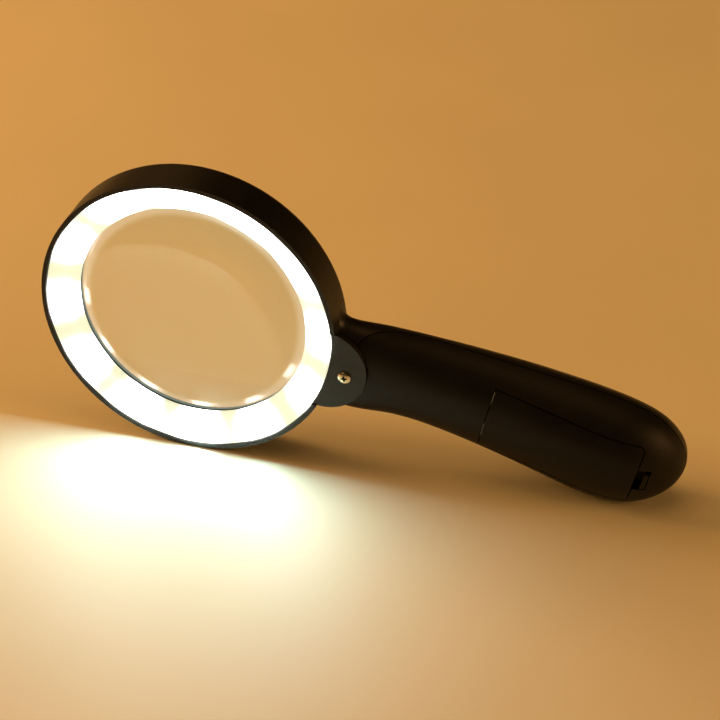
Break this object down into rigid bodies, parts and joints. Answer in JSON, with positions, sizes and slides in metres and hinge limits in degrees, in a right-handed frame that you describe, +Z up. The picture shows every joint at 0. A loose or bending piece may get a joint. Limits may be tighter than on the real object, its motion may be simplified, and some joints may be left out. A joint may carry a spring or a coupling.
{
  "type": "illuminated hand magnifier",
  "caption": "Round hand magnifier with a lit diffuser ring around a large lens, a curved handle with a battery door and a slide switch.",
  "frame": {"origin": "middle of the footprint, on the floor that the ring's wall and the butt of the handle stand on", "axes": "+X from the ring towards the handle's butt, +Y from the lit side to the back along the lens axis, +Z up"},
  "size_m": [0.2198, 0.032, 0.104],
  "materials": {
    "black_plastic": "satin moulded",
    "lens_acrylic": "polished clear acrylic",
    "gasket_rubber": "matt",
    "milky_plastic": "milky, lit from behind",
    "board_laminate": "white solder mask",
    "led_phosphor": "phosphor gel",
    "resistor_ceramic": "matt",
    "plated_steel": "zinc plated",
    "yellow_zinc_steel": "yellow zinc plated steel",
    "white_plastic": "moulded",
    "cell_wrap": "shrink wrap",
    "spring_steel": "nickel plated",
    "red_insulation": "extruded",
    "black_insulation": "extruded"
  },
  "bodies": {
    "magnifier": {"rear_body": "black_plastic", "handle_front_shell": "black_plastic", "light_frame": "black_plastic", "lens": "lens_acrylic", "lens_gasket": "gasket_rubber", "diffuser_ring": "milky_plastic", "led_board": "board_laminate", "leds": "led_phosphor", "resistors": "resistor_ceramic", "board_screws": "plated_steel", "tongue_screw": "yellow_zinc_steel", "handle_screws": "plated_steel", "switch_case": "plated_steel", "switch_screws": "plated_steel", "battery_1": "cell_wrap", "battery_2": "cell_wrap", "battery_3": "cell_wrap", "link_contacts": "spring_steel", "terminal_contacts": "spring_steel", "battery_springs": "spring_steel", "lead_red": "red_insulation", "lead_black": "black_insulation", "lead_switch": "red_insulation"},
    "door": {"battery_door": "black_plastic"},
    "switch": {"switch_knob": "black_plastic", "switch_slider": "white_plastic"}
  },
  "joints": [
    {"name": "door_hinge", "type": "hinge", "parent": "magnifier", "child": "door", "pos_m": [0.04393, -0.01156, 0.02848], "axis": [-0.2251, 0, -0.9743], "range_deg": [0, 60]},
    {"name": "switch_slide", "type": "slide", "parent": "magnifier", "child": "switch", "axis": [0.9743, 0, -0.2251], "range_m": [0, 0.004]}
  ]
}
